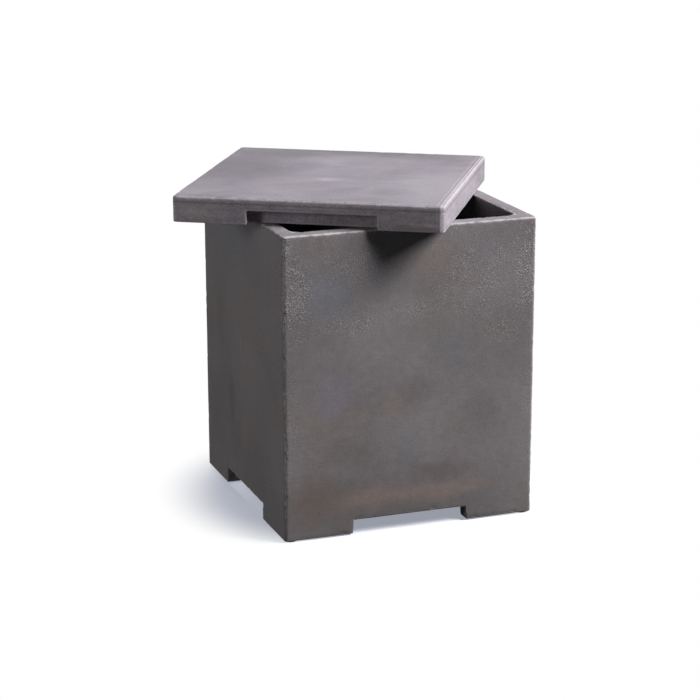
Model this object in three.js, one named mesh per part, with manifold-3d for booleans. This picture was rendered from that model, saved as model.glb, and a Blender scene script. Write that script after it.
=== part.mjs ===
// Propane tank cover table: a cast concrete enclosure on four corner feet, with a loose slab lid.
// The lid lies turned and shifted on the rim. Millimetres, +Z up, the floor at z = 0, the front
// towards -Y. The origin is on the floor under the middle of the lid.
import * as THREE from 'three';
import { mergeVertices } from 'three/addons/utils/BufferGeometryUtils.js';
import Module from 'manifold-3d';

const wasm = await Module();
wasm.setup();

// Enclosure: four walls of cast concrete in one piece, open at the top and at the bottom.
const enclosureWidth = 457;
const enclosureHeight = 531;
const wallThickness = 28;
const enclosureCornerRadius = 4;
const cavityCornerRadius = 15;
const rimOuterRounding = 4;
const rimInnerRounding = 3;
const undersideRounding = 2;

// Foot gaps: one wide low gap in the lower edge of each wall leaves four corner feet. The gaps in
// the left and right walls are a little higher than those in the front and back walls.
const footGapWidth = 210;
const footGapHeight = 25;
const sideFootGapHeight = 29.5;
const footGapDraft = 2;
const footGapCornerRadius = 4;

// Lid: a square slab with a finger recess in its front and back edges and a hollow underside. Seen
// from outside, each recess is a little to the right of the middle of its edge. When the lid is
// closed, it stands a little proud of the enclosure's walls all round.
const lidOverhang = 3.5;
const lidThickness = 46;
const lidCornerRadius = 9;
const lidTopRounding = 5;
const lidBottomRounding = 3;
const lidBandWidth = 45;
const lidPanelThickness = 23;
const lidPocketCornerRadius = 14;
const fingerRecessWidth = 222;
const fingerRecessOffset = 8;
const fingerRecessHeight = 24;
const fingerRecessDepth = 22.5;
const fingerRecessCornerRadius = 4;

// Place of the lid on the rim: turned clockwise seen from above, its middle off the box's middle.
const lidTurnDegrees = -31.7;
const lidShiftLeft = 47.3;
const lidShiftBack = 18.4;

// Rubber pads: discs in round sockets, under the feet and under the lid's corners.
const footPadDiameter = 22;
const footPadThickness = 4;
const footPadStandout = 2;
const lidBumperDiameter = 12;
const lidBumperThickness = 2.2;
const lidBumperStandout = 0.8;
const padEdgeChamfer = 0.6;
const footSocketClearance = 0.5;
const bumperSocketClearance = 0.4;

// Clearance between pieces that rest on each other, and how far a cut runs past what it cuts.
const seatGap = 0.3;
const cutOverrun = 10;

// Steps that a rounded corner, a rounded edge and a full circle are made of.
const cornerSteps = 4;
const edgeSteps = 3;
const circleSteps = 32;

// The lid's width, and the levels above the floor.
const lidWidth = enclosureWidth + 2 * lidOverhang;
const undersideLevel = footPadStandout;
const rimLevel = undersideLevel + enclosureHeight;
const lidLevel = rimLevel + seatGap;

const quarterTurn = Math.PI / 2;
const halfTurn = Math.PI;

// A square with rounded corners, drawn counter-clockwise and closed by its last corner.
function roundedSquare(width, radius) {
  const half = width / 2;
  const near = half - radius;
  const outline = new THREE.Shape();
  outline.moveTo(-near, -half);
  outline.lineTo(near, -half);
  outline.absarc(near, -near, radius, -quarterTurn, 0);
  outline.lineTo(half, near);
  outline.absarc(near, near, radius, 0, quarterTurn);
  outline.lineTo(-near, half);
  outline.absarc(-near, near, radius, quarterTurn, halfTurn);
  outline.lineTo(-half, -near);
  outline.absarc(-near, -near, radius, halfTurn, halfTurn + quarterTurn);
  return outline;
}

// The outline's points at one level. Its last point repeats its first and is left out.
function outlineRing(section) {
  const points = roundedSquare(section.width, section.radius).getPoints(cornerSteps).slice(0, -1);
  return points.map((point) => new THREE.Vector3(point.x, point.y, section.level));
}

// A square-plan solid through a stack of sections, each with its width, corner radius and level.
function stackedSolid(sections) {
  const rings = sections.map(outlineRing);
  const bottom = rings[0];
  const top = rings[rings.length - 1];
  const positions = [];
  const addTriangle = (...points) => {
    points.forEach((point) => positions.push(point.x, point.y, point.z));
  };
  rings.slice(1).forEach((upper, below) => {
    const lower = rings[below];
    upper.forEach((point, side) => {
      const next = (side + 1) % upper.length;
      addTriangle(lower[side], lower[next], upper[next]);
      addTriangle(lower[side], upper[next], point);
    });
  });
  for (let side = 1; side + 1 < bottom.length; side += 1) {
    addTriangle(bottom[0], bottom[side + 1], bottom[side]);
    addTriangle(top[0], top[side], top[side + 1]);
  }
  const geometry = new THREE.BufferGeometry();
  geometry.setAttribute('position', new THREE.Float32BufferAttribute(positions, 3));
  return toSolid(geometry);
}

// The angles of a quarter circle, in even steps.
function quarterAngles() {
  return Array.from({ length: edgeSteps + 1 }, (_, step) => (step / edgeSteps) * quarterTurn);
}

// Sections that round an outer edge, from the flat face at its level to the upright faces.
function outerRounding(width, radius, level, rounding, upwards) {
  return quarterAngles().map((angle) => {
    const inset = rounding * (1 - Math.sin(angle));
    return {
      width: width - 2 * inset,
      radius: Math.max(radius - inset, rounding / 2),
      level: level + upwards * rounding * (1 - Math.cos(angle)),
    };
  });
}

// Sections that round the edge of a hollow, from its upright walls to its mouth at the level.
function mouthRounding(width, radius, level, rounding) {
  return quarterAngles().map((angle) => {
    const flare = rounding * (1 - Math.cos(angle));
    return {
      width: width + 2 * flare,
      radius: radius + flare,
      level: level - rounding * (1 - Math.sin(angle)),
    };
  });
}

// A square block on z = 0 with its lower and upper edges rounded.
function roundedBlock(width, radius, height, lowerRounding, upperRounding) {
  const lower = outerRounding(width, radius, 0, lowerRounding, 1);
  const upper = outerRounding(width, radius, height, upperRounding, -1).reverse();
  return stackedSolid([...lower, ...upper]);
}

function toSolid(geometry) {
  const shape = geometry.clone();
  shape.deleteAttribute('normal');
  shape.deleteAttribute('uv');
  const merged = mergeVertices(shape);
  const index = merged.index;
  const mesh = new wasm.Mesh({
    numProp: 3,
    vertProperties: new Float32Array(merged.attributes.position.array),
    triVerts: new Uint32Array(index.array),
  });
  return new wasm.Manifold(mesh);
}

function toGeometry(solid) {
  const mesh = solid.getMesh();
  const geometry = new THREE.BufferGeometry();
  geometry.setAttribute('position', new THREE.BufferAttribute(new Float32Array(mesh.vertProperties), 3));
  geometry.setIndex(new THREE.BufferAttribute(new Uint32Array(mesh.triVerts), 1));
  geometry.computeVertexNormals();
  return geometry;
}

function turned(geometry, angle) {
  return geometry.clone().rotateZ(angle);
}

// A gap open to below, extruded along +Y from y = 0: wider at its mouth, with rounded top corners.
function gapGeometry(width, height, draft, radius, depth) {
  const halfMouth = width / 2;
  const halfTop = halfMouth - draft;
  const outline = new THREE.Shape();
  outline.moveTo(-halfMouth, -cutOverrun);
  outline.lineTo(halfMouth, -cutOverrun);
  outline.lineTo(halfMouth, 0);
  outline.lineTo(halfTop, height - radius);
  outline.absarc(halfTop - radius, height - radius, radius, 0, quarterTurn);
  outline.lineTo(radius - halfTop, height);
  outline.absarc(radius - halfTop, height - radius, radius, quarterTurn, halfTurn);
  outline.lineTo(-halfMouth, 0);
  const geometry = new THREE.ExtrudeGeometry(outline, {
    depth,
    bevelEnabled: false,
    curveSegments: cornerSteps,
  });
  return geometry.rotateX(quarterTurn).translate(0, depth, 0);
}

// A round pad between two levels, with chamfered edges.
function padGeometry(diameter, bottom, top) {
  const radius = diameter / 2;
  const profile = [
    new THREE.Vector2(0, bottom),
    new THREE.Vector2(radius - padEdgeChamfer, bottom),
    new THREE.Vector2(radius, bottom + padEdgeChamfer),
    new THREE.Vector2(radius, top - padEdgeChamfer),
    new THREE.Vector2(radius - padEdgeChamfer, top),
    new THREE.Vector2(0, top),
  ];
  return new THREE.LatheGeometry(profile, circleSteps).rotateX(quarterTurn);
}

// A round socket, open to below, whose roof is at its depth above z = 0.
function socketGeometry(diameter, depth) {
  const radius = diameter / 2;
  const geometry = new THREE.CylinderGeometry(radius, radius, depth + cutOverrun, circleSteps);
  return geometry.rotateX(quarterTurn).translate(0, 0, (depth - cutOverrun) / 2);
}

// The four corners, as signs along X and Y.
const corners = [
  { name: 'front_left', x: -1, y: -1 },
  { name: 'front_right', x: 1, y: -1 },
  { name: 'back_left', x: -1, y: 1 },
  { name: 'back_right', x: 1, y: 1 },
];

// Foot pads sit where the middles of two walls meet, and so do the bumpers of the closed lid.
const footPadOffset = (enclosureWidth - wallThickness) / 2;
const lidBumperOffset = footPadOffset;

// Four copies of a cut, one at each corner.
function cornerCuts(geometry, offset) {
  return corners.map((corner) =>
    toSolid(geometry.clone().translate(corner.x * offset, corner.y * offset, 0)));
}

// The room for the cylinder, right through the enclosure, with its rim rounded.
function enclosureCavity() {
  const width = enclosureWidth - 2 * wallThickness;
  const rim = mouthRounding(width, cavityCornerRadius, enclosureHeight, rimInnerRounding);
  const mouth = rim[rim.length - 1];
  return stackedSolid([
    { width, radius: cavityCornerRadius, level: -cutOverrun },
    ...rim,
    { ...mouth, level: enclosureHeight + cutOverrun },
  ]);
}

// Two cuts, each through two opposite walls.
function footGapCuts() {
  const depth = enclosureWidth + 2 * cutOverrun;
  const cutThrough = (height) => gapGeometry(
    footGapWidth,
    height,
    footGapDraft,
    footGapCornerRadius,
    depth,
  ).translate(0, -depth / 2, 0);
  const frontAndBack = cutThrough(footGapHeight);
  const leftAndRight = turned(cutThrough(sideFootGapHeight), quarterTurn);
  return [toSolid(frontAndBack), toSolid(leftAndRight)];
}

function footSocketCuts() {
  const depth = footPadThickness + seatGap - footPadStandout;
  return cornerCuts(socketGeometry(footPadDiameter + 2 * footSocketClearance, depth), footPadOffset);
}

function enclosureShell() {
  let shell = roundedBlock(
    enclosureWidth,
    enclosureCornerRadius,
    enclosureHeight,
    undersideRounding,
    rimOuterRounding,
  );
  for (const cut of [enclosureCavity(), ...footGapCuts(), ...footSocketCuts()]) {
    shell = shell.subtract(cut);
  }
  return toGeometry(shell);
}

function lidPocket() {
  const width = lidWidth - 2 * lidBandWidth;
  const depth = lidThickness - lidPanelThickness;
  return stackedSolid([
    { width, radius: lidPocketCornerRadius, level: -cutOverrun },
    { width, radius: lidPocketCornerRadius, level: depth },
  ]);
}

function fingerRecessCuts() {
  const depth = fingerRecessDepth + cutOverrun;
  const recess = gapGeometry(fingerRecessWidth, fingerRecessHeight, 0, fingerRecessCornerRadius, depth);
  recess.translate(fingerRecessOffset, -lidWidth / 2 - cutOverrun, 0);
  return [toSolid(recess), toSolid(turned(recess, halfTurn))];
}

function bumperSocketCuts() {
  const depth = lidBumperThickness + seatGap - lidBumperStandout;
  return cornerCuts(socketGeometry(lidBumperDiameter + 2 * bumperSocketClearance, depth), lidBumperOffset);
}

function lidSlab() {
  let slab = roundedBlock(
    lidWidth,
    lidCornerRadius,
    lidThickness,
    lidBottomRounding,
    lidTopRounding,
  );
  for (const cut of [lidPocket(), ...fingerRecessCuts(), ...bumperSocketCuts()]) {
    slab = slab.subtract(cut);
  }
  return toGeometry(slab);
}

function castConcrete() {
  return new THREE.MeshStandardMaterial({ color: 0x77726f, roughness: 0.85, metalness: 0 });
}

function blackRubber() {
  return new THREE.MeshStandardMaterial({ color: 0x1d1d1f, roughness: 0.75, metalness: 0 });
}

function namedMesh(name, geometry, material) {
  const mesh = new THREE.Mesh(geometry, material);
  mesh.name = name;
  return mesh;
}

function addPads(group, prefix, geometry, offset) {
  for (const corner of corners) {
    const pad = namedMesh(`${prefix}_${corner.name}`, geometry, blackRubber());
    pad.position.set(corner.x * offset, corner.y * offset, 0);
    group.add(pad);
  }
}

function enclosureGroup() {
  const group = new THREE.Group();
  const shell = namedMesh('enclosure_shell', enclosureShell(), castConcrete());
  shell.position.z = undersideLevel;
  group.add(shell);
  addPads(group, 'foot_pad', padGeometry(footPadDiameter, 0, footPadThickness), footPadOffset);
  group.position.set(lidShiftLeft, -lidShiftBack, 0);
  return group;
}

function lidGroup() {
  const group = new THREE.Group();
  group.add(namedMesh('lid_slab', lidSlab(), castConcrete()));
  const bumperTop = lidBumperThickness - lidBumperStandout;
  const bumper = padGeometry(lidBumperDiameter, -lidBumperStandout, bumperTop);
  addPads(group, 'lid_bumper', bumper, lidBumperOffset);
  group.position.z = lidLevel;
  group.rotation.z = THREE.MathUtils.degToRad(lidTurnDegrees);
  return group;
}

const tankCoverTable = new THREE.Group();
tankCoverTable.add(enclosureGroup(), lidGroup());

export default tankCoverTable;
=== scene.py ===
import math

import bmesh
import bpy
from mathutils import Matrix, Vector, kdtree, noise


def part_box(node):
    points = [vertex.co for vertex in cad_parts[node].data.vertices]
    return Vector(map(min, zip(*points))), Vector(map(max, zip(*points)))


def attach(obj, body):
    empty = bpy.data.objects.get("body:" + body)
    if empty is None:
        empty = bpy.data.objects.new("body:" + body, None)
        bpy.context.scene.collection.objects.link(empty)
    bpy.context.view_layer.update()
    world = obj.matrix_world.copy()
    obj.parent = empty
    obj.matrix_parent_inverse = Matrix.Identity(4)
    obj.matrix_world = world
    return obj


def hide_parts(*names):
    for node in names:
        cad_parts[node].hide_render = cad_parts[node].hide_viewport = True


# A propane tank cover table: a cast concrete box on four feet, and a loose cast slab lid that lies
# turned on its rim. Both castings are modelled here; the rubber pads are the frame's own nodes.
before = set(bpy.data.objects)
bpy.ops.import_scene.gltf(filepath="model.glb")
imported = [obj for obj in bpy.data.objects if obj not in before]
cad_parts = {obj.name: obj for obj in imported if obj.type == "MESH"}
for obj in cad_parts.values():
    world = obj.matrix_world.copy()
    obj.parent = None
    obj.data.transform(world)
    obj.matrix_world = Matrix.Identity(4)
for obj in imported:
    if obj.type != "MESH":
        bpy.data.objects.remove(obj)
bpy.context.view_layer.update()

MM = 0.001
X_AXIS = Vector((1, 0, 0))
Y_AXIS = Vector((0, 1, 0))
Z_AXIS = Vector((0, 0, 1))
TOUCH = 0.02 * MM

# The enclosure's outer sizes and its middle come from its node.
shell_low, shell_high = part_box("enclosure_shell")
SHELL_WIDTH = shell_high.x - shell_low.x
SHELL_HEIGHT = shell_high.z - shell_low.z
SHELL_PLACE = Vector(((shell_low.x + shell_high.x) / 2, (shell_low.y + shell_high.y) / 2, shell_low.z))

# The enclosure's other sizes.
WALL = 28 * MM
SHELL_CORNER_RADIUS = 5.5 * MM
CAVITY_CORNER_RADIUS = 15 * MM
RIM_OUTER_ROUNDING = 4.3 * MM
RIM_INNER_ROUNDING = 3 * MM
FOOT_ROUNDING = 1.5 * MM
FOOT_GAP_WIDTH = 210 * MM
FOOT_GAP_HEIGHT = 25 * MM
SIDE_FOOT_GAP_HEIGHT = 29.5 * MM
FOOT_GAP_DRAFT = 2 * MM
FOOT_GAP_CORNER = 4 * MM
FOOT_SOCKET_DIAMETER = 23 * MM
FOOT_SOCKET_DEPTH = 2.3 * MM
# Foot pads sit where the middles of two walls meet, and so do the bumpers of the closed lid.
PAD_OFFSET = (SHELL_WIDTH - WALL) / 2

# The lid's levels come from its node, and its width, turn and hollows are given here.
lid_low, lid_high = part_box("lid_slab")
LID_WIDTH = 464 * MM
LID_THICKNESS = lid_high.z - lid_low.z
LID_PLACE = Vector(((lid_low.x + lid_high.x) / 2, (lid_low.y + lid_high.y) / 2, lid_low.z))
LID_TURN = math.radians(-31.7)
LID_CORNER_RADIUS = 9 * MM
LID_TOP_ROUNDING = 5 * MM
LID_BAND = 45 * MM
LID_POCKET_DEPTH = 23 * MM
LID_POCKET_CORNER = 14 * MM
RECESS_WIDTH = 222 * MM
RECESS_OFFSET = 8 * MM
RECESS_HEIGHT = 24 * MM
RECESS_DEPTH = 22.5 * MM
RECESS_CORNER = 4 * MM
RECESS_ROUNDING = 1.5 * MM
BUMPER_SOCKET_DIAMETER = 12.8 * MM
BUMPER_SOCKET_DEPTH = 1.7 * MM

# A socket's circle is set in a square that reaches this share of its diameter from its middle, and
# edges up to the second share from the middle are the socket's own.
SOCKET_SQUARE_SHARE = 0.53
SOCKET_EDGE_SHARE = 0.52

# An edge that turns by more than this angle is a corner. A face looks along a way when its normal has
# more than this share of it.
CORNER_ANGLE = math.radians(40)
FACING_SHARE = 0.9

# Slices cut the castings into cells. In the lid they stop this margin inside the pocket's walls.
GRID_SPACING = 16 * MM
POCKET_MARGIN = 30 * MM

# The longest edges that stay: near an arris, in a zone beyond that, and everywhere else.
ARRIS_ZONE = 7 * MM
ARRIS_EDGE = 3.2 * MM
MIDDLE_ZONE = 16 * MM
MIDDLE_EDGE = 6.5 * MM
FIELD_EDGE = 18 * MM

# Wear of the skin: each kind's size and depth, how far from an arris it is full and where it ends,
# and each casting's place in the noise.
WAVE_SIZE = 110 * MM
WAVE_DEPTH = 0.3 * MM
RIPPLE_SIZE = 7 * MM
RIPPLE_DEPTH = 0.25 * MM
RUBBED_SIZE = 60 * MM
RUBBED_DEPTH = 0.3 * MM
CHIP_SIZE = 13 * MM
SHELL_CHIP_DEPTH = 1.0 * MM
LID_CHIP_DEPTH = 0.7 * MM
WEAR_FULL = 1.5 * MM
WEAR_END = 8 * MM
SHELL_SEED = 0.37
LID_SEED = 0.81
# Up to the first share of the rounding above its underside, a casting wears by the second one at most.
# Pressed in further, such a small rounding would fold over itself.
FOOT_ZONE_SHARE = 1.5
FOOT_WEAR_SHARE = 0.3

# The photograph's view: a long lens, a little above the lid, from the left of the front.
PHOTO_LENS = 112.833
PHOTO_SENSOR = 36.0
CAMERA_PLACE = Vector((-1273.2, -3571.8, 1318.2)) * MM
CAMERA_YAW = 0.34897
CAMERA_PITCH = -0.27234
CAMERA_ROLL = -0.00177


def add_camera():
    data = bpy.data.cameras.new("photo_camera")
    data.sensor_width = PHOTO_SENSOR
    data.lens = PHOTO_LENS
    data.clip_end = 100
    camera = bpy.data.objects.new("photo_camera", data)
    bpy.context.scene.collection.objects.link(camera)
    turn = Matrix.Rotation(-CAMERA_YAW, 4, "Z") @ Matrix.Rotation(math.pi / 2 + CAMERA_PITCH, 4, "X")
    camera.matrix_world = Matrix.Translation(CAMERA_PLACE) @ turn @ Matrix.Rotation(CAMERA_ROLL, 4, "Z")
    bpy.context.scene.camera = camera


# Shaping the castings.

def block(bm, width, height):
    """A square block on z = 0, round the z axis."""
    made = bmesh.ops.create_cube(bm, size=1)
    bmesh.ops.scale(bm, verts=made["verts"], vec=(width, width, height))
    bmesh.ops.translate(bm, verts=made["verts"], vec=Z_AXIS * height / 2)


def looks_along(face, way):
    return face.normal.dot(way) > FACING_SHARE


def face_towards(bm, way, level):
    """The face that looks along way and lies at that level along it."""
    for face in bm.faces:
        if looks_along(face, way) and abs(face.calc_center_median().dot(way) - level) < TOUCH:
            return face
    raise ValueError("no face looks that way at that level")


def pushed(bm, face, move):
    """Push a face along, with new walls behind it, and return it."""
    end = bmesh.ops.extrude_discrete_faces(bm, faces=[face])["faces"][0]
    bmesh.ops.translate(bm, verts=end.verts, vec=move)
    return end


def sunk(bm, face, border, move):
    """Keep a border round a face and push what is inside it along."""
    bmesh.ops.inset_region(bm, faces=[face], thickness=border, use_even_offset=True, use_boundary=True)
    return pushed(bm, face, move)


def slice_faces(bm, faces, axis, place):
    # Keys of a dict keep their order, where a set's order would change from run to run.
    edges = dict.fromkeys(edge for face in faces for edge in face.edges)
    verts = dict.fromkeys(vert for face in faces for vert in face.verts)
    geom = [*faces, *edges, *verts]
    bmesh.ops.bisect_plane(bm, geom=geom, dist=TOUCH / 2, plane_co=axis * place, plane_no=axis)


def drop_faces(bm, test):
    """Delete the faces whose middle passes the test."""
    found = [face for face in bm.faces if test(face.calc_center_median())]
    bmesh.ops.delete(bm, geom=found, context="FACES")


def face_outwards(bm):
    """Turn all faces of a closed casting outwards, which its signed volume settles."""
    bmesh.ops.recalc_face_normals(bm, faces=bm.faces[:])
    if bm.calc_volume(signed=True) < 0:
        bmesh.ops.reverse_faces(bm, faces=bm.faces[:])


def across_and_out(point):
    """How far a point is to the side of the nearer axis, and how far out along that axis."""
    return sorted((abs(point.x), abs(point.y)))


def sharp_edges(bm, test):
    """The edges with a clear corner whose two ends both pass the test."""
    sharp = [edge for edge in bm.edges if edge.calc_face_angle(0) > CORNER_ANGLE]
    return [edge for edge in sharp if test(edge.verts[0].co) and test(edge.verts[1].co)]


def upright_edges(bm, offset):
    """The upright edges that stand at this offset from the middle along both x and y."""
    def at_corner(point):
        return all(abs(abs(part) - offset) < TOUCH for part in point.xy)

    def upright(edge):
        return abs(edge.verts[0].co.z - edge.verts[1].co.z) > TOUCH

    return [edge for edge in sharp_edges(bm, at_corner) if upright(edge)]


def rounded(bm, edges, radius, segments):
    bmesh.ops.bevel(
        bm,
        geom=edges,
        offset=radius,
        offset_type="OFFSET",
        affect="EDGES",
        segments=segments,
        profile=0.5,
        material=-1,
        clamp_overlap=False,
    )


CORNERS = [Vector((x, y, 0)) for x in (-1, 1) for y in (-1, 1)]


def sink_sockets(bm, offset, diameter, depth):
    """Sink a round socket for a pad into the underside at each corner."""
    def under(face):
        return looks_along(face, -Z_AXIS) and abs(face.calc_center_median().z) < TOUCH

    def under_corner(face, corner):
        return under(face) and face.calc_center_median().dot(corner) > offset

    diagonals = [
        edge for edge in bm.edges
        if len(edge.link_faces) == 2
        and all(under(face) for face in edge.link_faces)
        and abs(edge.verts[0].co.x - edge.verts[1].co.x) > TOUCH
        and abs(edge.verts[0].co.y - edge.verts[1].co.y) > TOUCH
    ]
    bmesh.ops.dissolve_edges(bm, edges=diagonals)
    for corner in CORNERS:
        middle = corner * offset
        for axis in (X_AXIS, Y_AXIS):
            for side in (-SOCKET_SQUARE_SHARE, SOCKET_SQUARE_SHARE):
                near = [face for face in bm.faces if under_corner(face, corner)]
                slice_faces(bm, near, axis, middle.dot(axis) + side * diameter)
        square = min(
            (face for face in bm.faces if under(face)),
            key=lambda face: (face.calc_center_median() - middle).length,
        )
        square_edges = square.edges[:]
        bmesh.ops.delete(bm, geom=[square], context="FACES_ONLY")
        circle = bmesh.ops.create_circle(
            bm, cap_ends=True, segments=32, radius=diameter / 2, matrix=Matrix.Translation(middle)
        )
        cap = circle["verts"][0].link_faces[0]
        bmesh.ops.bridge_loops(bm, edges=square_edges + cap.edges[:])
        pushed(bm, cap, Z_AXIS * depth)


def arris_tree(bm):
    """A search tree of points along the outward corners that wear and weather."""
    step = 2 * MM
    points = []
    for edge in bm.edges:
        if edge.is_convex and edge.calc_face_angle(0) > CORNER_ANGLE:
            start, end = edge.verts[0].co, edge.verts[1].co
            count = max(1, round((end - start).length / step))
            points += [start.lerp(end, index / count) for index in range(count + 1)]
    tree = kdtree.KDTree(len(points))
    for index, point in enumerate(points):
        tree.insert(point, index)
    tree.balance()
    return tree


def refine(bm, tree):
    """Halve long edges until the mesh is fine along the arrises and coarser away from them."""
    def longest(distance):
        if distance < ARRIS_ZONE:
            return ARRIS_EDGE
        if distance < MIDDLE_ZONE:
            return MIDDLE_EDGE
        return FIELD_EDGE

    while True:
        split = []
        for edge in bm.edges:
            length = edge.calc_length()
            middle = (edge.verts[0].co + edge.verts[1].co) / 2
            if length > ARRIS_EDGE and length > longest(max(0, tree.find(middle)[2] - length / 3)):
                split.append(edge)
        if not split:
            return
        bmesh.ops.subdivide_edges(bm, edges=split, cuts=1, use_grid_fill=True)


def swell(value, low, high):
    """A smooth step from 0 at low to 1 at high."""
    share = min(1, max(0, (value - low) / (high - low)))
    return share * share * (3 - 2 * share)


def weather(bm, tree, chip_depth, foot_rounding, seed):
    """Press the skin inwards only: uneven faces, and arrises with worn stretches and small chips."""
    shift = Vector((seed, 2 * seed, 3 * seed))
    distance_layer = bm.verts.layers.float.new("edge_distance")
    bm.normal_update()
    moves = []
    for vert in bm.verts:
        distance = tree.find(vert.co)[2]
        vert[distance_layer] = distance
        waves = 0.5 + 0.5 * noise.noise(vert.co / WAVE_SIZE + shift)
        ripple = 0.5 + 0.5 * noise.noise(vert.co / RIPPLE_SIZE + shift)
        chips = swell(noise.noise(vert.co / CHIP_SIZE + 2 * shift), 0.18, 0.62)
        rubbed = swell(noise.noise(vert.co / RUBBED_SIZE + 3 * shift), -0.4, 0.5)
        near = 1 - swell(distance, WEAR_FULL, WEAR_END)
        arris_wear = ripple * RIPPLE_DEPTH + rubbed * RUBBED_DEPTH + chips * chip_depth
        depth = waves * WAVE_DEPTH + near * arris_wear
        if vert.co.z < FOOT_ZONE_SHARE * foot_rounding:
            depth = min(depth, FOOT_WEAR_SHARE * foot_rounding)
        moves.append((vert, vert.normal * -depth))
    for vert, move in moves:
        vert.co += move


def finished_piece(bm, name, place, turn, material):
    """Make the piece's object at the origin, with its turn and place in its mesh."""
    face_outwards(bm)
    open_edges = [edge for edge in bm.edges if len(edge.link_faces) != 2]
    if open_edges:
        raise ValueError(f"{name} has {len(open_edges)} open edges")
    bm.transform(Matrix.Translation(place) @ Matrix.Rotation(turn, 4, "Z"))
    for face in bm.faces:
        face.smooth = True
    mesh = bpy.data.meshes.new(name)
    bm.to_mesh(mesh)
    bm.free()
    mesh.materials.append(material)
    piece = bpy.data.objects.new(name, mesh)
    bpy.context.scene.collection.objects.link(piece)
    triangles = sum(len(polygon.vertices) - 2 for polygon in mesh.polygons)
    print(name, triangles, "triangles")
    return piece


def slice_grid(bm, reach, height):
    """Slice the casting into even cells, so that halving them keeps their shape."""
    for axis in (X_AXIS, Y_AXIS):
        count = int(reach / GRID_SPACING)
        for index in range(-count, count + 1):
            slice_faces(bm, bm.faces[:], axis, index * GRID_SPACING)
    for index in range(1, int(height / GRID_SPACING) + 1):
        slice_faces(bm, bm.faces[:], Z_AXIS, index * GRID_SPACING)


def mouth_of(bm, way, reach):
    """The upright face nearest to where the axis along way meets the block's foot."""
    facing = [face for face in bm.faces if looks_along(face, way)]
    return min(facing, key=lambda face: (face.calc_center_median() - way * reach).length)


def enclosure(material):
    bm = bmesh.new()
    half = SHELL_WIDTH / 2
    block(bm, SHELL_WIDTH, SHELL_HEIGHT)
    # The cavity, straight through from the rim to the foot.
    cavity_end = sunk(bm, face_towards(bm, Z_AXIS, SHELL_HEIGHT), WALL, -Z_AXIS * SHELL_HEIGHT)
    bottom = face_towards(bm, -Z_AXIS, 0)
    bmesh.ops.inset_region(bm, faces=[bottom], thickness=WALL, use_even_offset=True)
    bmesh.ops.delete(bm, geom=[cavity_end, bottom], context="FACES_ONLY")
    bmesh.ops.remove_doubles(bm, verts=bm.verts[:], dist=TOUCH)
    # A gap through the foot of each wall, higher through the left and right walls.
    half_gap = FOOT_GAP_WIDTH / 2 - FOOT_GAP_DRAFT
    for axis in (X_AXIS, Y_AXIS):
        for side in (-half_gap, half_gap):
            slice_faces(bm, bm.faces[:], axis, side)

    def gap_height(point):
        return SIDE_FOOT_GAP_HEIGHT if abs(point.x) > abs(point.y) else FOOT_GAP_HEIGHT

    for way in (X_AXIS, -X_AXIS, Y_AXIS, -Y_AXIS):
        walls = [
            face for face in bm.faces
            if (looks_along(face, way) or looks_along(face, -way))
            and face.calc_center_median().dot(way) > half - 2 * WALL
        ]
        slice_faces(bm, walls, Z_AXIS, gap_height(way))
        pushed(bm, mouth_of(bm, way, half), -way * WALL)

    def in_gap_mouth(point):
        across, _ = across_and_out(point)
        return across < half_gap - TOUCH and point.z < gap_height(point) - TOUCH

    drop_faces(bm, in_gap_mouth)
    bmesh.ops.remove_doubles(bm, verts=bm.verts[:], dist=TOUCH)
    for vert in bm.verts:
        across, _ = across_and_out(vert.co)
        if vert.co.z < TOUCH and abs(across - half_gap) < TOUCH:
            axis = X_AXIS if abs(vert.co.x) < abs(vert.co.y) else Y_AXIS
            vert.co += axis * math.copysign(FOOT_GAP_DRAFT, vert.co.dot(axis))
    bm.normal_update()
    face_outwards(bm)
    tree = arris_tree(bm)
    # Upright corners first, then the edges that run round them.
    rounded(bm, upright_edges(bm, half), SHELL_CORNER_RADIUS, 4)
    rounded(bm, upright_edges(bm, half - WALL), CAVITY_CORNER_RADIUS, 5)

    def at_gap_top(point):
        across, _ = across_and_out(point)
        return abs(across - half_gap) < TOUCH and abs(point.z - gap_height(point)) < TOUCH

    rounded(bm, sharp_edges(bm, at_gap_top), FOOT_GAP_CORNER, 3)

    def on_rim(point):
        return point.z > SHELL_HEIGHT - TOUCH

    def is_outer(edge):
        side = min(edge.link_faces, key=lambda face: abs(face.normal.z))
        return side.normal.dot(edge.verts[0].co) > 0

    rim = sharp_edges(bm, on_rim)
    outer_rim = [edge for edge in rim if is_outer(edge)]
    inner_rim = [edge for edge in rim if not is_outer(edge)]
    rounded(bm, outer_rim, RIM_OUTER_ROUNDING, 4)
    rounded(bm, inner_rim, RIM_INNER_ROUNDING, 3)

    def on_foot(point):
        return point.z < gap_height(point) + TOUCH

    foot_edges = [edge for edge in sharp_edges(bm, on_foot) if edge.is_convex]
    rounded(bm, foot_edges, FOOT_ROUNDING, 2)
    sink_sockets(bm, PAD_OFFSET, FOOT_SOCKET_DIAMETER, FOOT_SOCKET_DEPTH)
    face_outwards(bm)
    slice_grid(bm, half - 2 * WALL, SHELL_HEIGHT - RIM_OUTER_ROUNDING)
    refine(bm, tree)
    weather(bm, tree, SHELL_CHIP_DEPTH, FOOT_ROUNDING, SHELL_SEED)
    return finished_piece(bm, "concrete_enclosure", SHELL_PLACE, 0, material)


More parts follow.
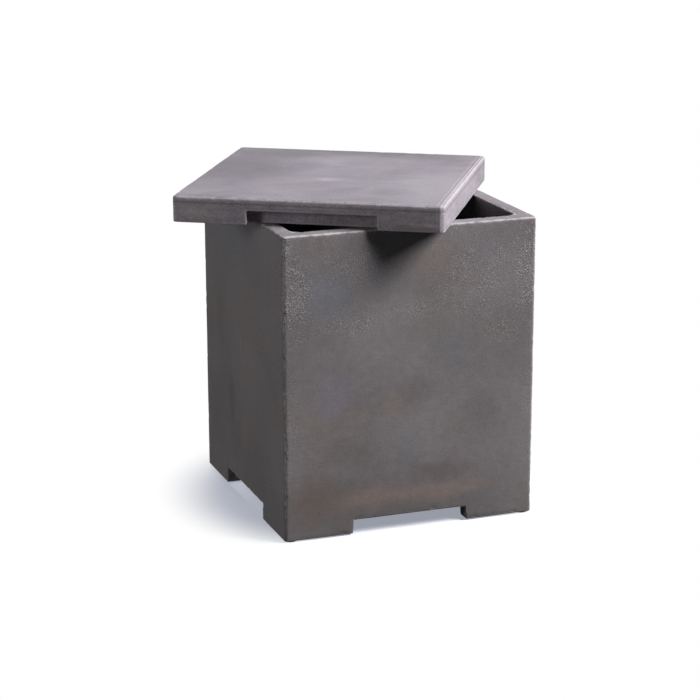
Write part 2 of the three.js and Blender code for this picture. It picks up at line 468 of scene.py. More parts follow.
def lid(material):
    bm = bmesh.new()
    half = LID_WIDTH / 2
    block(bm, LID_WIDTH, LID_THICKNESS)
    sunk(bm, face_towards(bm, -Z_AXIS, 0), LID_BAND, Z_AXIS * LID_POCKET_DEPTH)

    def recess_ends(point):
        """Where the recess of the front or the back edge begins and ends, each seen from its side."""
        middle = math.copysign(RECESS_OFFSET, -point.y)
        return middle - RECESS_WIDTH / 2, middle + RECESS_WIDTH / 2

    # A finger recess in the lower half of the front edge, and one at the back.
    for way in (Y_AXIS, -Y_AXIS):
        for end in recess_ends(way):
            slice_faces(bm, bm.faces[:], X_AXIS, end)
        slice_faces(bm, bm.faces[:], Y_AXIS, way.y * (half - RECESS_DEPTH))
    slice_faces(bm, bm.faces[:], Z_AXIS, RECESS_HEIGHT)

    def in_recess(point):
        first, last = recess_ends(point)
        return first < point.x < last and abs(point.y) > half - RECESS_DEPTH and point.z < RECESS_HEIGHT

    for way in (Y_AXIS, -Y_AXIS):
        facing = [face for face in bm.faces if looks_along(face, way)]
        mouths = [face for face in facing if in_recess(face.calc_center_median())]
        mouth = bmesh.ops.dissolve_faces(bm, faces=mouths)["region"][0]
        pushed(bm, mouth, -way * RECESS_DEPTH)
    drop_faces(bm, lambda point: in_recess(point) and point.z < TOUCH)
    bmesh.ops.remove_doubles(bm, verts=bm.verts[:], dist=TOUCH)
    bm.normal_update()
    sink_sockets(bm, PAD_OFFSET, BUMPER_SOCKET_DIAMETER, BUMPER_SOCKET_DEPTH)
    face_outwards(bm)
    tree = arris_tree(bm)
    rounded(bm, upright_edges(bm, half), LID_CORNER_RADIUS, 5)
    rounded(bm, upright_edges(bm, half - LID_BAND), LID_POCKET_CORNER, 5)

    def at_recess_top(point):
        at_end = min(abs(point.x - end) for end in recess_ends(point)) < TOUCH
        at_top = abs(point.z - RECESS_HEIGHT) < TOUCH
        return at_end and at_top and abs(point.y) > half - RECESS_DEPTH - TOUCH

    rounded(bm, sharp_edges(bm, at_recess_top), RECESS_CORNER, 3)
    top_edges = sharp_edges(bm, lambda point: point.z > LID_THICKNESS - TOUCH)
    rounded(bm, top_edges, LID_TOP_ROUNDING, 4)

    def on_band(point):
        from_bumper = Vector((abs(point.x) - PAD_OFFSET, abs(point.y) - PAD_OFFSET)).length
        return point.z < RECESS_HEIGHT + TOUCH and from_bumper > SOCKET_EDGE_SHARE * BUMPER_SOCKET_DIAMETER

    band_edges = [edge for edge in sharp_edges(bm, on_band) if edge.is_convex]
    rounded(bm, band_edges, RECESS_ROUNDING, 2)
    slice_grid(bm, half - LID_BAND - POCKET_MARGIN, LID_THICKNESS - LID_TOP_ROUNDING)
    refine(bm, tree)
    weather(bm, tree, LID_CHIP_DEPTH, RECESS_ROUNDING, LID_SEED)
    return finished_piece(bm, "concrete_lid", LID_PLACE, LID_TURN, material)


# Finishes.

SMOOTH = {"interpolation_type": "SMOOTHSTEP"}
COLOUR_MIX = {"data_type": "RGBA"}
COLOUR_MULTIPLY = {"data_type": "RGBA", "blend_type": "MULTIPLY"}
MULTIPLY = {"operation": "MULTIPLY"}
MULTIPLY_ADD = {"operation": "MULTIPLY_ADD"}
SUBTRACT = {"operation": "SUBTRACT"}
MAXIMUM = {"operation": "MAXIMUM"}
LENGTH = {"operation": "LENGTH"}

# The sizes of the concrete's patterns.
DRIFT_SIZE = 45 * MM
SAND_BREAK_SIZE = 26 * MM
PINHOLE_SPACING = 17 * MM
MOTTLE_SIZE = 14 * MM
WANDER_SIZE = 8 * MM
SMEAR_SIZE = 5 * MM
GRAIN_SIZE = 2.6 * MM

# Where in the noise the warm and cool clouds and the pale and dark flecks begin and are full.
WARM_RANGE = (0.52, 0.75)
COOL_RANGE = (0.48, 0.25)
PALE_FLECK_RANGE = (0.53, 0.68)
DARK_FLECK_RANGE = (0.47, 0.32)

# How much the sand's density adds to the chance of a grain and of a pit.
GRAIN_SHARE = 0.75
PIT_SHARE = 0.6

# How far the patterns stand out or are sunk, in millimetres.
MOTTLE_RELIEF = 0.25
PIT_RELIEF = -0.3
PINHOLE_RELIEF = -0.8

# The top face's finish begins and is full at these depths below it.
TOP_FADE_DEPTH = 2.4 * MM
TOP_FULL_DEPTH = 0.6 * MM

# Worn lines begin and are full at these heights. The shares of their width are how far they wander,
# how far they are moved back for it, and how far from their middle they are full.
WORN_FROM = 8 * MM
WORN_FULL = 60 * MM
WANDER_SHARE = 2
WANDER_BACK_SHARE = 0.9
LINE_CORE_SHARE = 0.3

ROUGHNESS_SPREAD = 0.06


def linear(hex_colour):
    """An sRGB hex colour as linear red, green, blue and alpha."""
    parts = [int(hex_colour[place:place + 2], 16) / 255 for place in (1, 3, 5)]
    return [part / 12.92 if part <= 0.04045 else ((part + 0.055) / 1.055) ** 2.4 for part in parts] + [1]


def add_node(tree, kind, settings=None, inputs=None):
    """Add a node, give it its settings, and set or link its inputs."""
    node = tree.nodes.new(kind)
    for name, value in (settings or {}).items():
        setattr(node, name, value)
    for socket, value in (inputs or {}).items():
        if isinstance(value, bpy.types.NodeSocket):
            tree.links.new(value, node.inputs[socket])
        else:
            node.inputs[socket].default_value = value
    return node


def oval_patch(tree, ragged, middle, reach, raggedness):
    """A mask that is 1 in the middle of an oval patch and fades out to 0 at its reach, in millimetres.

    Ragged coordinates are moved by half of their raggedness on average, and the patch moves with them.
    """
    centre = [part * MM + 0.5 * raggedness for part in middle]
    radii = [part * MM for part in reach]
    offset = add_node(tree, "ShaderNodeVectorMath", SUBTRACT, {0: ragged, 1: centre}).outputs[0]
    share = add_node(
        tree, "ShaderNodeVectorMath", {"operation": "DIVIDE"}, {0: offset, 1: radii}
    ).outputs[0]
    length = add_node(tree, "ShaderNodeVectorMath", LENGTH, {0: share}).outputs["Value"]
    return add_node(
        tree, "ShaderNodeMapRange", SMOOTH, {"Value": length, "From Min": 1.0, "From Max": 0.15}
    ).outputs[0]


def clouded_skin(tree, place, finish):
    """The cement skin's colour: dark and light clouds, then warm and cool ones."""
    clouds = add_node(
        tree,
        "ShaderNodeTexNoise",
        inputs={
            "Vector": place,
            "Scale": 1 / finish["cloud_size"],
            "Detail": 5,
            "Roughness": 0.55,
            "Distortion": 0.4,
        },
    )
    share = add_node(
        tree,
        "ShaderNodeMapRange",
        SMOOTH,
        {"Value": clouds.outputs["Fac"], "From Min": 0.3, "From Max": 0.7},
    ).outputs[0]
    colour = add_node(
        tree, "ShaderNodeMix", COLOUR_MIX, {0: share, 6: linear(finish["dark"]), 7: linear(finish["light"])}
    ).outputs[2]
    moved = add_node(tree, "ShaderNodeMapping", inputs={"Vector": place, "Location": (3.1, 1.7, 0.4)})
    tint = add_node(
        tree,
        "ShaderNodeTexNoise",
        inputs={"Vector": moved.outputs[0], "Scale": 1 / (0.7 * finish["cloud_size"]), "Detail": 2},
    ).outputs["Fac"]
    for tone, (low, high) in ((finish["warm"], WARM_RANGE), (finish["cool"], COOL_RANGE)):
        mask = add_node(
            tree,
            "ShaderNodeMapRange",
            SMOOTH,
            {"Value": tint, "From Min": low, "From Max": high, "To Max": 0.6},
        ).outputs[0]
        colour = add_node(
            tree, "ShaderNodeMix", COLOUR_MIX, {0: mask, 6: colour, 7: linear(tone)}
        ).outputs[2]
    return colour


def sand_density(tree, place, ragged, height, edge, finish):
    """How much sand the worn skin bares: near the arrises, less low down, and in drifts."""
    near = add_node(
        tree,
        "ShaderNodeMapRange",
        SMOOTH,
        {
            "Value": edge,
            "From Min": finish["sand_band"],
            "From Max": 0.0,
            "To Max": finish["sand_band_share"],
        },
    ).outputs[0]
    raised = add_node(
        tree,
        "ShaderNodeMapRange",
        SMOOTH,
        {"Value": height, "From Min": finish["sand_from"], "From Max": finish["sand_full"]},
    ).outputs[0]
    density = add_node(tree, "ShaderNodeMath", MULTIPLY, {0: near, 1: raised}).outputs[0]
    for middle, reach, share in finish["sand_drifts"]:
        here = oval_patch(tree, ragged, middle, reach, finish["patch_raggedness"])
        drift = add_node(tree, "ShaderNodeMath", MULTIPLY, {0: here, 1: share}).outputs[0]
        density = add_node(tree, "ShaderNodeMath", MAXIMUM, {0: density, 1: drift}).outputs[0]
    broken = add_node(
        tree, "ShaderNodeTexNoise", inputs={"Vector": place, "Scale": 1 / SAND_BREAK_SIZE, "Detail": 3}
    ).outputs["Fac"]
    broken_share = add_node(
        tree,
        "ShaderNodeMapRange",
        SMOOTH,
        {"Value": broken, "From Min": 0.36, "From Max": 0.6, "To Min": 0.4},
    ).outputs[0]
    return add_node(tree, "ShaderNodeMath", MULTIPLY, {0: density, 1: broken_share}).outputs[0]


def sand_grains(tree, place, density, finish):
    """Masks of the pale grains and of the dark pits between them, one of either to a cell."""
    cells = add_node(
        tree, "ShaderNodeTexVoronoi", inputs={"Vector": place, "Scale": 1 / finish["sand_cell"]}
    )
    disc = add_node(
        tree,
        "ShaderNodeMapRange",
        SMOOTH,
        {"Value": cells.outputs["Distance"], "From Min": 0.6, "From Max": 0.25},
    ).outputs[0]
    chances = add_node(tree, "ShaderNodeSeparateColor", inputs={0: cells.outputs["Color"]})
    masks = []
    for chance, share in ((chances.outputs[0], GRAIN_SHARE), (chances.outputs[1], PIT_SHARE)):
        likely = add_node(
            tree, "ShaderNodeMath", MULTIPLY_ADD, {0: density, 1: share, 2: chance}
        ).outputs[0]
        shown = add_node(
            tree, "ShaderNodeMapRange", inputs={"Value": likely, "From Min": 1.0, "From Max": 1.5}
        ).outputs[0]
        masks.append(add_node(tree, "ShaderNodeMath", MULTIPLY, {0: shown, 1: disc}).outputs[0])
    return masks


def pinholes(tree, place):
    """A mask of the few small holes that air leaves against the mould."""
    cells = add_node(tree, "ShaderNodeTexVoronoi", inputs={"Vector": place, "Scale": 1 / PINHOLE_SPACING})
    chance = add_node(tree, "ShaderNodeSeparateColor", inputs={0: cells.outputs["Color"]}).outputs[1]
    reach = add_node(
        tree,
        "ShaderNodeMapRange",
        inputs={"Value": chance, "From Min": 0.8, "From Max": 1.0, "To Max": 0.1},
    ).outputs[0]
    depth = add_node(
        tree, "ShaderNodeMath", SUBTRACT, {0: reach, 1: cells.outputs["Distance"]}
    ).outputs[0]
    return add_node(
        tree, "ShaderNodeMapRange", SMOOTH, {"Value": depth, "From Min": 0.0, "From Max": 0.05}
    ).outputs[0]


def worn_line(tree, wander, edge, distance, width, strength):
    """A mask along the arrises, at a distance from them, that comes and goes."""
    ragged = add_node(
        tree, "ShaderNodeMath", MULTIPLY_ADD, {0: wander, 1: WANDER_SHARE * width, 2: edge}
    ).outputs[0]
    middle = distance + WANDER_BACK_SHARE * width
    off = add_node(tree, "ShaderNodeMath", SUBTRACT, {0: ragged, 1: middle}).outputs[0]
    away = add_node(tree, "ShaderNodeMath", {"operation": "ABSOLUTE"}, {0: off}).outputs[0]
    return add_node(
        tree,
        "ShaderNodeMapRange",
        SMOOTH,
        {"Value": away, "From Min": width, "From Max": LINE_CORE_SHARE * width, "To Max": strength},
    ).outputs[0]


def cast_concrete(name, finish):
    """Cast concrete: cloudy cement skin, sand bared near the arrises, pinholes and worn edges."""
    material = bpy.data.materials.new(name)
    material.use_nodes = True
    tree = material.node_tree
    tree.nodes.clear()
    coords = add_node(tree, "ShaderNodeTexCoord").outputs["Object"]
    turned = add_node(
        tree, "ShaderNodeMapping", inputs={"Vector": coords, "Rotation": (0, 0, -finish["turn"])}
    ).outputs[0]
    stretched = add_node(
        tree, "ShaderNodeMapping", inputs={"Vector": turned, "Scale": finish["cloud_stretch"]}
    ).outputs[0]
    height = add_node(tree, "ShaderNodeSeparateXYZ", inputs={0: coords}).outputs["Z"]
    edge = add_node(tree, "ShaderNodeAttribute", {"attribute_name": "edge_distance"}).outputs["Fac"]
    colour = clouded_skin(tree, stretched, finish)

    # Stains, polished places, painted shade and painted light, each where the photograph shows one,
    # with a ragged outline.
    raggedness = finish["patch_raggedness"]
    drift = add_node(
        tree, "ShaderNodeTexNoise", inputs={"Vector": turned, "Scale": 1 / DRIFT_SIZE, "Detail": 3}
    ).outputs["Color"]
    ragged = add_node(
        tree, "ShaderNodeVectorMath", MULTIPLY_ADD, {0: drift, 1: [raggedness] * 3, 2: turned}
    ).outputs[0]
    for middle, reach, tone, strength in finish["stains_and_painted_shading"]:
        mask = oval_patch(tree, ragged, middle, reach, raggedness)
        faded = add_node(tree, "ShaderNodeMath", MULTIPLY, {0: mask, 1: strength}).outputs[0]
        colour = add_node(
            tree, "ShaderNodeMix", COLOUR_MIX, {0: faded, 6: colour, 7: linear(tone)}
        ).outputs[2]

    # 1 on the top face, struck off or trowelled, and 0 on the moulded sides.
    on_top = add_node(
        tree,
        "ShaderNodeMapRange",
        SMOOTH,
        {
            "Value": height,
            "From Min": finish["top_level"] - TOP_FADE_DEPTH,
            "From Max": finish["top_level"] - TOP_FULL_DEPTH,
        },
    ).outputs[0]

    # Mottling, level smears and fine grain, each as a multiplier round 1.
    mottle = add_node(
        tree,
        "ShaderNodeTexNoise",
        inputs={"Vector": stretched, "Scale": 1 / MOTTLE_SIZE, "Detail": 4, "Roughness": 0.6},
    ).outputs["Fac"]
    levelled = add_node(
        tree, "ShaderNodeMapping", inputs={"Vector": turned, "Scale": (0.1, 0.1, 1)}
    ).outputs[0]
    smear = add_node(
        tree,
        "ShaderNodeTexNoise",
        inputs={"Vector": levelled, "Scale": 1 / SMEAR_SIZE, "Detail": 3, "Roughness": 0.6},
    ).outputs["Fac"]
    grain = add_node(
        tree, "ShaderNodeTexNoise", inputs={"Vector": turned, "Scale": 1 / GRAIN_SIZE, "Detail": 2}
    ).outputs["Fac"]
    patterns = (
        (mottle, finish["mottle_spread"]),
        (smear, finish["smear_spread"]),
        (grain, finish["grain_spread"]),
    )
    for pattern, (side_spread, top_spread) in patterns:
        spread = add_node(
            tree,
            "ShaderNodeMapRange",
            inputs={"Value": on_top, "To Min": 4 * side_spread, "To Max": 4 * top_spread},
        ).outputs[0]
        centred = add_node(tree, "ShaderNodeMath", SUBTRACT, {0: pattern, 1: 0.5}).outputs[0]
        shade = add_node(
            tree, "ShaderNodeMath", MULTIPLY_ADD, {0: centred, 1: spread, 2: 1.0}
        ).outputs[0]
        colour = add_node(
            tree, "ShaderNodeVectorMath", {"operation": "SCALE"}, {0: colour, "Scale": shade}
        ).outputs[0]
    # The top face's gain: on the lid it dims the top against the sides, which is painted shade.
    colour = add_node(
        tree, "ShaderNodeMix", COLOUR_MULTIPLY, {0: on_top, 6: colour, 7: finish["top_gain"]}
    ).outputs[2]

    # The sandy crust of flecks, its single pale grains and pits, then the pinholes.
    density = sand_density(tree, turned, ragged, height, edge, finish)
    grains, pits = sand_grains(tree, turned, density, finish)
    holes = pinholes(tree, turned)
    crust = []
    for low, high in (PALE_FLECK_RANGE, DARK_FLECK_RANGE):
        fleck = add_node(
            tree, "ShaderNodeMapRange", SMOOTH, {"Value": grain, "From Min": low, "From Max": high}
        ).outputs[0]
        crust.append(add_node(tree, "ShaderNodeMath", MULTIPLY, {0: fleck, 1: density}).outputs[0])
    marks = (
        (crust[0], finish["crust_strength"], finish["sand"]),
        (crust[1], finish["crust_strength"], finish["pinhole"]),
        (pits, finish["pit_strength"], finish["pinhole"]),
        (grains, finish["sand_strength"], finish["sand"]),
        (holes, 1.0, finish["pinhole"]),
    )
    for pattern, strength, tone in marks:
        mask = add_node(tree, "ShaderNodeMath", MULTIPLY, {0: pattern, 1: strength}).outputs[0]
        colour = add_node(
            tree, "ShaderNodeMix", COLOUR_MIX, {0: mask, 6: colour, 7: linear(tone)}
        ).outputs[2]

    # Worn arrises, where the skin is rubbed off in broken lines, and the trowel's lines near them.
    wander = add_node(
        tree, "ShaderNodeTexNoise", inputs={"Vector": turned, "Scale": 1 / WANDER_SIZE, "Detail": 3}
    ).outputs["Fac"]
    above_foot = add_node(
        tree, "ShaderNodeMapRange", SMOOTH, {"Value": height, "From Min": WORN_FROM, "From Max": WORN_FULL}
    ).outputs[0]
    for distance, width, strength, tone in finish["worn_lines"]:
        line = worn_line(tree, wander, edge, distance * MM, width * MM, strength)
        worn = add_node(tree, "ShaderNodeMath", MULTIPLY, {0: line, 1: above_foot}).outputs[0]
        colour = add_node(
            tree, "ShaderNodeMix", COLOUR_MIX, {0: worn, 6: colour, 7: linear(tone)}
        ).outputs[2]
    for way, distance, width, strength, tone in finish["trowel_lines"]:
        across = add_node(
            tree, "ShaderNodeVectorMath", {"operation": "DOT_PRODUCT"}, {0: turned, 1: way}
        ).outputs["Value"]
        line = worn_line(tree, wander, across, distance * MM, width * MM, strength)
        colour = add_node(
            tree, "ShaderNodeMix", COLOUR_MIX, {0: line, 6: colour, 7: linear(tone)}
        ).outputs[2]

    # Relief in millimetres, and how dull the skin is.
    relief = add_node(
        tree, "ShaderNodeMath", MULTIPLY, {0: grain, 1: finish["grain_relief"]}
    ).outputs[0]
    reliefs = (
        (mottle, MOTTLE_RELIEF),
        (grains, finish["sand_relief"]),
        (pits, PIT_RELIEF),
        (holes, PINHOLE_RELIEF),
    )
    for pattern, depth in reliefs:
        relief = add_node(
            tree, "ShaderNodeMath", MULTIPLY_ADD, {0: pattern, 1: depth, 2: relief}
        ).outputs[0]
    bump = add_node(tree, "ShaderNodeBump", inputs={"Height": relief, "Distance": MM, "Strength": 1.0})
    dullness = add_node(
        tree,
        "ShaderNodeMapRange",
        inputs={
            "Value": mottle,
            "From Min": 0.3,
            "From Max": 0.7,
            "To Min": finish["roughness"] - ROUGHNESS_SPREAD,
            "To Max": finish["roughness"] + ROUGHNESS_SPREAD,
        },
    )
    shader = add_node(
        tree,
        "ShaderNodeBsdfPrincipled",
        inputs={
            "Base Color": colour,
            "Roughness": dullness.outputs[0],
            "IOR": finish["ior"],
            "Specular IOR Level": finish["specular"],
            "Normal": bump.outputs[0],
        },
    )
    add_node(tree, "ShaderNodeOutputMaterial", inputs={"Surface": shader.outputs[0]})
    return material


# The enclosure: grey concrete cast against a plain mould, matt and sandy, its middles rubbed smooth.
SANDY_CONCRETE = {
    "turn": 0,
    "cloud_size": 190 * MM,
    "cloud_stretch": (1, 1, 1),
    "dark": "#716c6d",
    "light": "#7f7a7c",
    "warm": "#7d736f",
    "cool": "#74747b",
    "patch_raggedness": 40 * MM,
    "stains_and_painted_shading": [
        # Painted shade: the front darkens towards its foot.
        ((47, -247, 20), (330, 40, 150), "#665f5e", 0.6),
        ((-20, -247, 64), (130, 40, 26), "#84756f", 0.7),
        ((110, -247, 62), (120, 40, 22), "#867771", 0.7),
        ((-125, -247, 70), (80, 40, 55), "#645752", 0.5),
        ((105, -247, 100), (80, 40, 24), "#655857", 0.45),
        ((-100, -247, 427), (70, 40, 60), "#787c84", 0.6),
        ((-88, -247, 245), (45, 40, 60), "#807988", 0.4),
        ((97, -247, 384), (60, 40, 120), "#736c69", 0.45),
        ((-20, -247, 310), (70, 40, 60), "#7f7a7b", 0.5),
        ((60, -247, 250), (60, 40, 40), "#686365", 0.5),
        ((180, -247, 200), (50, 40, 60), "#676264", 0.45),
        ((-70, -247, 150), (80, 40, 40), "#6a6362", 0.5),
        ((262, -247, 150), (26, 40, 160), "#827c7c", 0.5),
        ((20, -247, 180), (50, 40, 34), "#7e7879", 0.4),
        ((-181, 20, 470), (40, 220, 60), "#71737a", 0.5),
        ((-181, -3, 285), (40, 9, 22), "#928c8e", 0.6),
        ((-181, 52, 175), (40, 30, 70), "#5f5755", 0.6),
        ((-181, -25, 135), (40, 30, 60), "#827a78", 0.4),
        ((-181, 110, 320), (40, 40, 90), "#69625f", 0.5),
    ],
    "sand": "#c9c3c6",
    "sand_cell": 2.6 * MM,
    "sand_band": 45 * MM,
    "sand_band_share": 0.42,
    "sand_from": 30 * MM,
    "sand_full": 240 * MM,
    "sand_strength": 0.5,
    "pit_strength": 0.5,
    "crust_strength": 0.38,
    "sand_relief": 0.3,
    "sand_drifts": [
        ((-165, -247, 430), (55, 22, 140), 1.0),
        ((-178, -247, 440), (26, 22, 190), 1.3),
        ((-174, -247, 240), (34, 16, 140), 0.5),
        ((-60, -247, 380), (130, 30, 42), 0.6),
        ((60, -247, 388), (80, 30, 36), 0.5),
        ((-60, -247, 470), (140, 30, 60), 0.5),
        ((170, -247, 440), (150, 30, 120), 0.55),
        ((262, -247, 440), (50, 22, 130), 1.3),
        ((215, -247, 345), (60, 30, 45), 0.5),
        ((-181, -215, 450), (14, 50, 120), 0.35),
    ],
    "pinhole": "#3a3536",
    "top_level": SHELL_PLACE.z + SHELL_HEIGHT,
    "top_gain": (1.12, 1.13, 1.2, 1),
    "worn_lines": [(1.6, 2.4, 0.65, "#bdb7ba")],
    "trowel_lines": [],
    "mottle_spread": (0.10, 0.08),
    "smear_spread": (0.03, 0.0),
    "grain_spread": (0.09, 0.12),
    "grain_relief": 0.22,
    "roughness": 0.85,
    "ior": 1.45,
    "specular": 0.25,
}

# The lid: the same concrete, smoother and paler, its top trowelled by hand in cloudy sweeps.
# Its top carries painted shade, darkest at the back and the left, and painted light at the front right.
TROWELLED_CONCRETE = {
    "turn": LID_TURN,
    "cloud_size": 120 * MM,
    "cloud_stretch": (0.85, 1.15, 1.15),
    "dark": "#878189",
    "light": "#9f98a0",
    "warm": "#9e9297",
    "cool": "#898793",
    "patch_raggedness": 24 * MM,
    "stains_and_painted_shading": [
        ((-5, -48, 579), (34, 22, 14), "#bdb7be", 0.5),
        ((-25, 109, 579), (34, 50, 14), "#b0aab1", 0.35),
        ((-99, 175, 579), (70, 40, 14), "#74757f", 0.6),
        ((126, -130, 579), (62, 55, 14), "#77757c", 0.6),
        ((134, -3, 579), (30, 16, 14), "#7b7880", 0.5),
        ((-186, -84, 579), (30, 50, 14), "#a8a3aa", 0.4),
        # Painted shade on the top's back and left, and painted light on its front right.
        ((-200, 60, 579), (190, 300, 14), "#746f76", 0.75),
        ((0, 240, 579), (320, 110, 14), "#757077", 0.75),
        ((200, -90, 579), (130, 230, 14), "#a7a1a8", 0.7),
        ((-60, -150, 579), (120, 50, 14), "#9f989f", 0.35),
        ((-180, -226, 552), (80, 14, 30), "#a59c9c", 0.6),
        ((60, -232, 566), (120, 12, 14), "#9c9495", 0.4),
        ((175, -232, 548), (80, 14, 30), "#9c9394", 0.6),
        # Painted shade: the right side darkens towards its back.
        ((232, 170, 556), (14, 170, 40), "#847e85", 0.6),
    ],
    "sand": "#c6c0c4",
    "sand_cell": 3.0 * MM,
    "sand_band": 16 * MM,
    "sand_band_share": 0.45,
    "sand_from": 0.0,
    "sand_full": 10 * MM,
    "sand_strength": 0.3,
    "pit_strength": 0.35,
    "crust_strength": 0.25,
    "sand_relief": 0.12,
    "sand_drifts": [],
    "pinhole": "#5a5557",
    "top_level": LID_PLACE.z + LID_THICKNESS,
    # The gain below 1 dims the top against the sides: painted shade.
    "top_gain": (0.73, 0.73, 0.74, 1),
    "worn_lines": [(2.0, 2.0, 0.6, "#b3adb2")],
    "trowel_lines": [
        ((1, 0, 0), 226, 1.4, 0.7, "#c4bec4"),
        ((1, 0, 0), 219, 1.2, 0.4, "#b9b3b9"),
        ((0, -1, 0), 226, 1.2, 0.5, "#bab4ba"),
        ((0, 0, 1), 569, 2.2, 0.4, "#5a5557"),
    ],
    "mottle_spread": (0.20, 0.06),
    "smear_spread": (0.12, 0.02),
    "grain_spread": (0.26, 0.14),
    "grain_relief": 0.10,
    "roughness": 0.62,
    "ior": 1.45,
    "specular": 0.18,
}

# Moulded black rubber: dull, almost even, with the faint bloom and fine grain of a moulded pad.
RUBBER_DARK = "#1a1a1c"
RUBBER_BLOOM = "#2c2b2d"
BLOOM_SIZE = 8 * MM
RUBBER_GRAIN_SIZE = 0.8 * MM
RUBBER_GRAIN_DEPTH = 0.08 * MM


def moulded_rubber():
    material = bpy.data.materials.new("moulded_rubber")
    material.use_nodes = True
    tree = material.node_tree
    tree.nodes.clear()
    coords = add_node(tree, "ShaderNodeTexCoord").outputs["Object"]
    bloom = add_node(
        tree, "ShaderNodeTexNoise", inputs={"Vector": coords, "Scale": 1 / BLOOM_SIZE, "Detail": 3}
    ).outputs["Fac"]
    grain = add_node(
        tree, "ShaderNodeTexNoise", inputs={"Vector": coords, "Scale": 1 / RUBBER_GRAIN_SIZE, "Detail": 1}
    ).outputs["Fac"]
    colour = add_node(
        tree, "ShaderNodeMix", COLOUR_MIX, {0: bloom, 6: linear(RUBBER_DARK), 7: linear(RUBBER_BLOOM)}
    ).outputs[2]
    dullness = add_node(
        tree, "ShaderNodeMapRange", inputs={"Value": bloom, "To Min": 0.6, "To Max": 0.85}
    ).outputs[0]
    bump = add_node(
        tree, "ShaderNodeBump", inputs={"Height": grain, "Distance": RUBBER_GRAIN_DEPTH}
    ).outputs[0]
    shader = add_node(
        tree,
        "ShaderNodeBsdfPrincipled",
        inputs={"Base Color": colour, "Roughness": dullness, "IOR": 1.52, "Normal": bump},
    )
    add_node(tree, "ShaderNodeOutputMaterial", inputs={"Surface": shader.outputs[0]})
    return material


# The studio, in metres and degrees.
STUDIO_MIDDLE = Vector((0.03, -0.02, 0.35))
FLOOR_REACH = 30


def add_lamp(name, azimuth, elevation, distance, size, level):
    """A softbox that would light a facing white surface to that level.

    It is at azimuth 0 in front of the table and at 90 on its right.
    """
    turn, lift = math.radians(azimuth), math.radians(elevation)
    way = Vector((math.sin(turn) * math.cos(lift), -math.cos(turn) * math.cos(lift), math.sin(lift)))
    data = bpy.data.lights.new(name, "AREA")
    data.shape = "RECTANGLE"
    data.size, data.size_y = size
    data.energy = level * (math.pi * distance) ** 2
    lamp = bpy.data.objects.new(name, data)
    bpy.context.scene.collection.objects.link(lamp)
    aim = way.to_track_quat("Z", "Y").to_matrix().to_4x4()
    lamp.matrix_world = Matrix.Translation(STUDIO_MIDDLE + way * distance) @ aim
    return lamp


def seen_directly(tree):
    """1 for rays from the camera and for mirrored or refracted ones, and 0 for light that spreads."""
    path = add_node(tree, "ShaderNodeLightPath")
    seen = path.outputs["Is Camera Ray"]
    for name in ("Is Glossy Ray", "Is Transmission Ray"):
        seen = add_node(tree, "ShaderNodeMath", MAXIMUM, {0: seen, 1: path.outputs[name]}).outputs[0]
    return seen


def add_world():
    """A background that looks white and gives no light of its own."""
    world = bpy.data.worlds.new("studio")
    bpy.context.scene.world = world
    world.use_nodes = True
    tree = world.node_tree
    tree.nodes.clear()
    background = add_node(
        tree, "ShaderNodeBackground", inputs={"Color": linear("#ffffff"), "Strength": seen_directly(tree)}
    )
    add_node(tree, "ShaderNodeOutputWorld", inputs={"Surface": background.outputs[0]})


# White paper floor: it shows the soft bluish shadow near the table and fades to white further out.
# To light that spreads it is dark, so that it throws little back at the table.
SHADOW_FULL = 0.25
SHADOW_GONE = 0.385
PAPER = "#c8c8c8"
PAPER_BOUNCE = "#1c1c1c"
# The shadow's own glow has one strength as far as the left end and another from the right one.
GLOW = "#e8eeff"
GLOW_LEFT_END = -0.2
GLOW_RIGHT_END = -0.08
GLOW_LEFT = 0.42
GLOW_RIGHT = 0.38


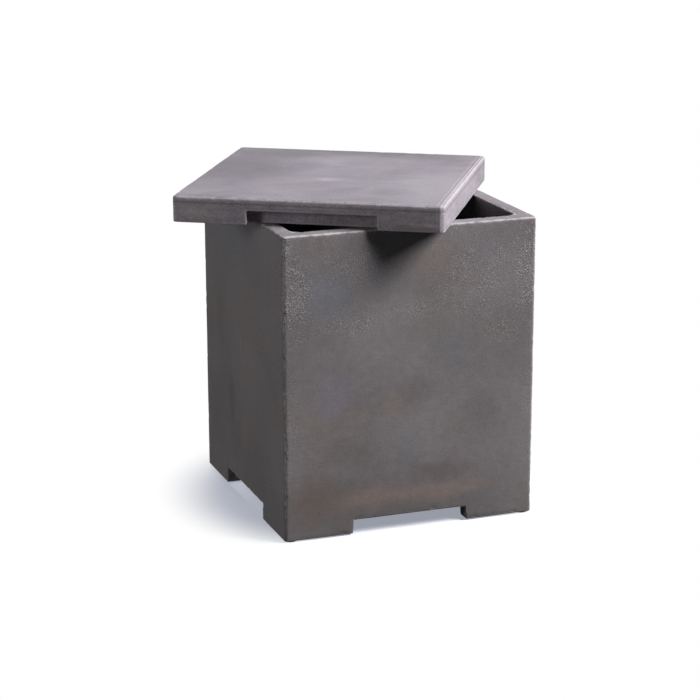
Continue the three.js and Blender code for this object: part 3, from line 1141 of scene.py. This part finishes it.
def floor_material():
    material = bpy.data.materials.new("studio_floor")
    material.use_nodes = True
    tree = material.node_tree
    tree.nodes.clear()
    coords = add_node(tree, "ShaderNodeTexCoord").outputs["Object"]
    middle = (SHELL_PLACE.x, SHELL_PLACE.y, 0)
    offset = add_node(tree, "ShaderNodeVectorMath", SUBTRACT, {0: coords, 1: middle}).outputs[0]
    away = add_node(tree, "ShaderNodeVectorMath", LENGTH, {0: offset}).outputs["Value"]
    fade = add_node(
        tree,
        "ShaderNodeMapRange",
        SMOOTH,
        {"Value": away, "From Min": SHADOW_FULL, "From Max": SHADOW_GONE},
    ).outputs[0]
    shade = add_node(tree, "ShaderNodeBsdfDiffuse", inputs={"Color": linear(PAPER)})
    side = add_node(tree, "ShaderNodeSeparateXYZ", inputs={0: coords}).outputs["X"]
    lift = add_node(
        tree,
        "ShaderNodeMapRange",
        inputs={
            "Value": side,
            "From Min": GLOW_LEFT_END,
            "From Max": GLOW_RIGHT_END,
            "To Min": GLOW_LEFT,
            "To Max": GLOW_RIGHT,
        },
    ).outputs[0]
    glow = add_node(tree, "ShaderNodeEmission", inputs={"Color": linear(GLOW), "Strength": lift})
    near = add_node(tree, "ShaderNodeAddShader", inputs={0: shade.outputs[0], 1: glow.outputs[0]})
    white = add_node(tree, "ShaderNodeEmission", inputs={"Color": linear("#ffffff"), "Strength": 1.0})
    shown = add_node(tree, "ShaderNodeMixShader", inputs={0: fade, 1: near.outputs[0], 2: white.outputs[0]})
    bounce = add_node(tree, "ShaderNodeBsdfDiffuse", inputs={"Color": linear(PAPER_BOUNCE)})
    mixed = add_node(
        tree,
        "ShaderNodeMixShader",
        inputs={0: seen_directly(tree), 1: bounce.outputs[0], 2: shown.outputs[0]},
    )
    add_node(tree, "ShaderNodeOutputMaterial", inputs={"Surface": mixed.outputs[0]})
    return material


def add_floor():
    bm = bmesh.new()
    bmesh.ops.create_grid(bm, x_segments=1, y_segments=1, size=FLOOR_REACH)
    mesh = bpy.data.meshes.new("studio_floor")
    bm.to_mesh(mesh)
    bm.free()
    mesh.materials.append(floor_material())
    floor = bpy.data.objects.new("studio_floor", mesh)
    bpy.context.scene.collection.objects.link(floor)


add_camera()

shell_piece = enclosure(cast_concrete("sandy_cast_concrete", SANDY_CONCRETE))
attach(shell_piece, "enclosure")
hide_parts("enclosure_shell")

lid_piece = lid(cast_concrete("trowelled_cast_concrete", TROWELLED_CONCRETE))
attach(lid_piece, "lid")
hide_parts("lid_slab")

rubber = moulded_rubber()
for name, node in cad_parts.items():
    if name.startswith(("foot_pad", "lid_bumper")):
        node.data.materials.clear()
        node.data.materials.append(rubber)

add_world()
add_lamp("key_softbox", azimuth=50, elevation=40, distance=6.0, size=(1.5, 2.7), level=1.15)
add_lamp("side_softbox", azimuth=72, elevation=44, distance=6.0, size=(1.8, 1.6), level=0.85)
add_lamp("left_softbox", azimuth=-78, elevation=14, distance=2.6, size=(0.6, 0.9), level=0.235)
back_fill = add_lamp(
    "back_softbox", azimuth=172, elevation=12, distance=3.0, size=(1.4, 0.8), level=0.6
)
# The back lamp is kept out of reflections, so that it shows the back without a glare on the lid's top.
back_fill.visible_glossy = False
add_floor()
bpy.context.scene.view_settings.view_transform = "Standard"
